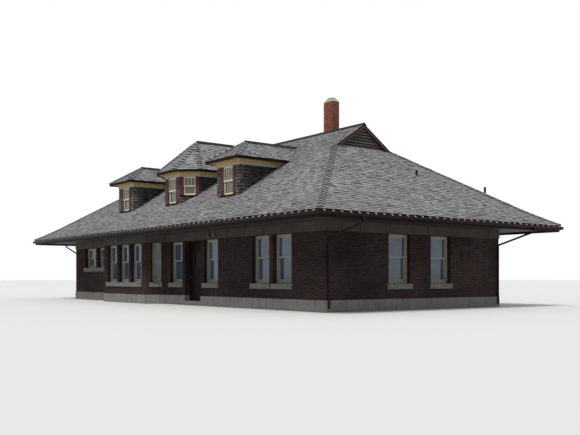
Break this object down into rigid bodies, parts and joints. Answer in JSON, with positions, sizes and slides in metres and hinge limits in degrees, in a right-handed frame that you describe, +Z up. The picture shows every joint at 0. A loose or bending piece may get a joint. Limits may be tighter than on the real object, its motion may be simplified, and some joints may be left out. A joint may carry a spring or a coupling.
{
  "type": "railway station building",
  "caption": "Single-storey brick railway station with a bell-cast hipped roof, gablets, dormers, a bay with canted sides and a recessed, hinged front door.",
  "frame": {"origin": "middle of the wall rectangle at ground level", "axes": "+Z up, the front with the bay and the front door faces -Y, the length runs along X"},
  "size_m": [24.86, 12.66, 8.8211],
  "materials": {
    "floor_timber": "matt",
    "brick": "rough",
    "concrete": "matt",
    "cement": "matt",
    "clay_tile": "matt",
    "chimney_brick": "rough",
    "door_paint": "painted",
    "maroon_paint": "painted",
    "frieze_paint": "painted",
    "shingles": "weathered",
    "cream_paint": "painted",
    "soffit_boards": "painted",
    "siding": "weathered",
    "pipe_metal": "painted",
    "maroon_metal": "painted",
    "dark_paint": "painted",
    "glass": "clear",
    "hardware": "satin",
    "lamp_metal": "satin",
    "vent_metal": "matt",
    "frame_paint": "painted"
  },
  "bodies": {
    "building": {"attic_floor": "floor_timber", "bay_front_wall": "brick", "bay_plinth": "concrete", "bay_side_walls": "brick", "chimney_cap": "cement", "chimney_pot": "clay_tile", "chimney_stack": "chimney_brick", "door_frames": "door_paint", "door_steps": "concrete", "dormer_casings": "maroon_paint", "dormer_fascias": "maroon_paint", "dormer_friezes": "frieze_paint", "dormer_roofs": "shingles", "dormer_sashes": "cream_paint", "dormer_soffits": "soffit_boards", "dormer_walls": "siding", "downspouts": "pipe_metal", "end_gutters": "maroon_metal", "end_plinths": "concrete", "end_walls": "brick", "fascia": "dark_paint", "frieze_boards": "frieze_paint", "front_door_lintel": "brick", "front_wall_left": "brick", "front_wall_middle": "brick", "front_wall_right": "brick", "gablet_rakes": "maroon_paint", "gablet_walls": "siding", "ground_floor": "floor_timber", "hinge_pins": "hardware", "lamps": "lamp_metal", "long_gutters": "maroon_metal", "long_plinths": "concrete", "main_roof": "shingles", "rear_door": "door_paint", "rear_door_hardware": "hardware", "rear_wall": "brick", "soffit": "soffit_boards", "transom_panels": "door_paint", "vent_pipes": "vent_metal", "window_frames": "frame_paint", "window_glass": "glass", "window_sashes": "frame_paint", "window_sills": "concrete"},
    "front_door": {"front_door": "door_paint", "front_door_glass": "glass", "front_door_hardware": "hardware"}
  },
  "joints": [
    {"name": "front_door_hinge", "type": "hinge", "parent": "building", "child": "front_door", "pos_m": [2.617, -4.245, 1.236], "axis": [0, 0, -1], "range_deg": [0, 100]}
  ]
}
